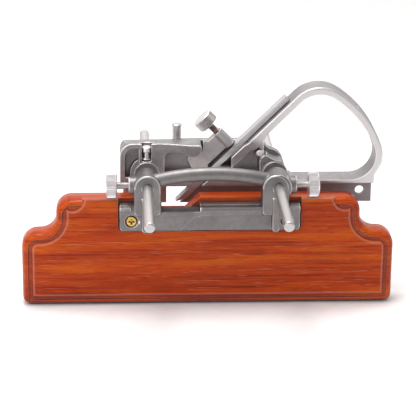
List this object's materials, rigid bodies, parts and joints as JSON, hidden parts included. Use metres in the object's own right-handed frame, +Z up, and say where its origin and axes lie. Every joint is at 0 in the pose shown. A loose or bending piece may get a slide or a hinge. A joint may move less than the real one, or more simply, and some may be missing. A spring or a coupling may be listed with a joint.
{
  "type": "plough plane",
  "caption": "Metal-bodied plough plane with a loop handle, clamped iron, skates, round fence rods, a moulded wooden fence board and a depth stop.",
  "frame": {"origin": "midpoint of the lower edge of the fence board's working face, midway along the rods", "axes": "+X from the toe to the heel (handle), +Y from the fence to the stock along the rods, +Z up, away from the sole"},
  "size_m": [0.29, 0.232, 0.169],
  "materials": {
    "cast_steel": "satin bead-blasted casting with bright, worn edges",
    "bright_steel": "ground and drawn bright steel",
    "tool_steel": "surface-ground tool steel",
    "dark_steel": "dark brown oiled thread",
    "nickel": "bright nickel plate over a straight knurl",
    "brass": "yellow brass with a cross recess",
    "fence_wood": "red-brown rosewood, semi-gloss finish"
  },
  "bodies": {
    "stock": {"stock_casting": "cast_steel", "front_skate": "bright_steel", "rear_skate": "bright_steel", "skate_pins": "bright_steel"},
    "iron": {"iron": "tool_steel"},
    "lever_cap": {"lever_cap": "cast_steel"},
    "lever_cap_screw": {"lever_cap_knob": "nickel", "lever_cap_stud": "dark_steel"},
    "front_rod": {"front_rod": "bright_steel"},
    "rear_rod": {"rear_rod": "bright_steel"},
    "front_rod_lock": {"front_rod_lock_screw": "nickel"},
    "rear_rod_lock": {"rear_rod_lock_screw": "nickel"},
    "fence": {"fence_bracket": "cast_steel", "fence_board": "fence_wood", "fence_wood_screws": "brass"},
    "front_fence_screw": {"front_fence_knob": "nickel", "front_fence_stud": "bright_steel"},
    "rear_fence_screw": {"rear_fence_knob": "nickel", "rear_fence_stud": "bright_steel"},
    "depth_stop": {"depth_stop_rod": "bright_steel", "depth_stop_shoe": "cast_steel", "depth_stop_shoe_screw": "nickel"},
    "depth_stop_screw": {"depth_stop_knob": "nickel", "depth_stop_stud": "bright_steel"}
  },
  "joints": [
    {"name": "iron_feed", "type": "slide", "parent": "stock", "child": "iron", "axis": [0.7071, 0, 0.7071], "range_m": [-0.004, 0.06]},
    {"name": "lever_cap_rock", "type": "hinge", "parent": "stock", "child": "lever_cap", "pos_m": [-0.0108, 0.018, 0.119], "axis": [0, 1, 0], "range_deg": [0, 2]},
    {"name": "lever_cap_screw_turn", "type": "hinge", "parent": "lever_cap", "child": "lever_cap_screw", "pos_m": [0.01838, 0.018, 0.1195], "axis": [-0.7071, 0, 0.7071], "range_deg": [-360, 360]},
    {"name": "front_rod_slide", "type": "slide", "parent": "stock", "child": "front_rod", "axis": [0, 1, 0], "range_m": [-0.06, 0.06]},
    {"name": "rear_rod_slide", "type": "slide", "parent": "stock", "child": "rear_rod", "axis": [0, 1, 0], "range_m": [-0.06, 0.06]},
    {"name": "front_rod_lock_turn", "type": "hinge", "parent": "stock", "child": "front_rod_lock", "pos_m": [-0.0477, 0.011, 0.0993], "axis": [0, 0, 1], "range_deg": [-360, 360]},
    {"name": "rear_rod_lock_turn", "type": "hinge", "parent": "stock", "child": "rear_rod_lock", "pos_m": [0.0526, 0.011, 0.0993], "axis": [-0.5948, 0, 0.8039], "range_deg": [-360, 360]},
    {"name": "fence_slide", "type": "slide", "parent": "stock", "child": "fence", "axis": [0, 1, 0], "range_m": [-0.085, 0.0115]},
    {"name": "front_fence_screw_turn", "type": "hinge", "parent": "fence", "child": "front_fence_screw", "pos_m": [-0.0477, -0.0195, 0.0993], "axis": [-1, 0, 0], "range_deg": [-360, 360]},
    {"name": "rear_fence_screw_turn", "type": "hinge", "parent": "fence", "child": "rear_fence_screw", "pos_m": [0.0526, -0.0195, 0.0993], "axis": [1, 0, 0], "range_deg": [-360, 360]},
    {"name": "depth_stop_slide", "type": "slide", "parent": "stock", "child": "depth_stop", "axis": [0, 0, 1], "range_m": [-0.0112, 0.0006]},
    {"name": "depth_stop_screw_turn", "type": "hinge", "parent": "stock", "child": "depth_stop_screw", "pos_m": [-0.0234, 0.033, 0.106], "axis": [0, 1, 0], "range_deg": [-360, 360]}
  ]
}
